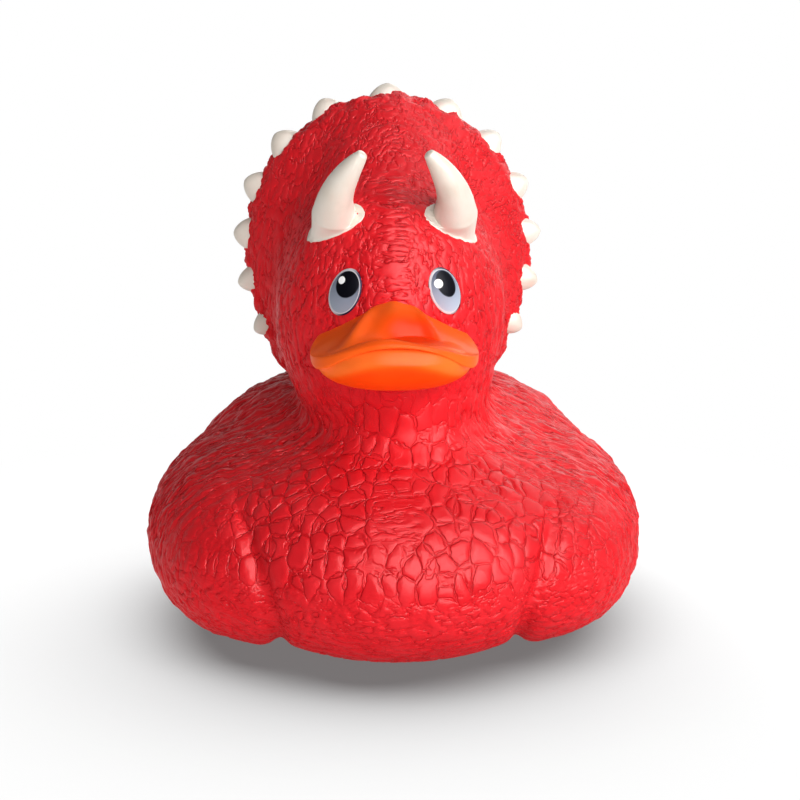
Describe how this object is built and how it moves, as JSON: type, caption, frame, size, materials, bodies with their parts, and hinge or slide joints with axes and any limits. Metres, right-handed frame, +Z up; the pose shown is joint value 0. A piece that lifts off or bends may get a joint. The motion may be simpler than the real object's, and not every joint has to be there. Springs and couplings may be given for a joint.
{
  "type": "rubber duck",
  "caption": "Hollow vinyl bath duck whose head wears brow horns and a round frill edged with blunt studs, with a painted bill and eyes.",
  "frame": {"origin": "on the flat base, midway between the wings and 2 mm behind the middle of the hull's length", "axes": "+Z up from the base, -Y towards the bill, +X towards the duck's left wing"},
  "size_m": [0.09, 0.0962, 0.097],
  "materials": {
    "red_vinyl": "satin, moulded with shallow scales",
    "orange_paint": "satin sprayed paint on the bill",
    "cream_paint": "satin paint on the horns and studs",
    "eye_paint": "gloss paint, pale grey-blue with black pupils, white rims and white glints"
  },
  "bodies": {
    "root": {"duck": "red_vinyl"}
  },
  "joints": []
}
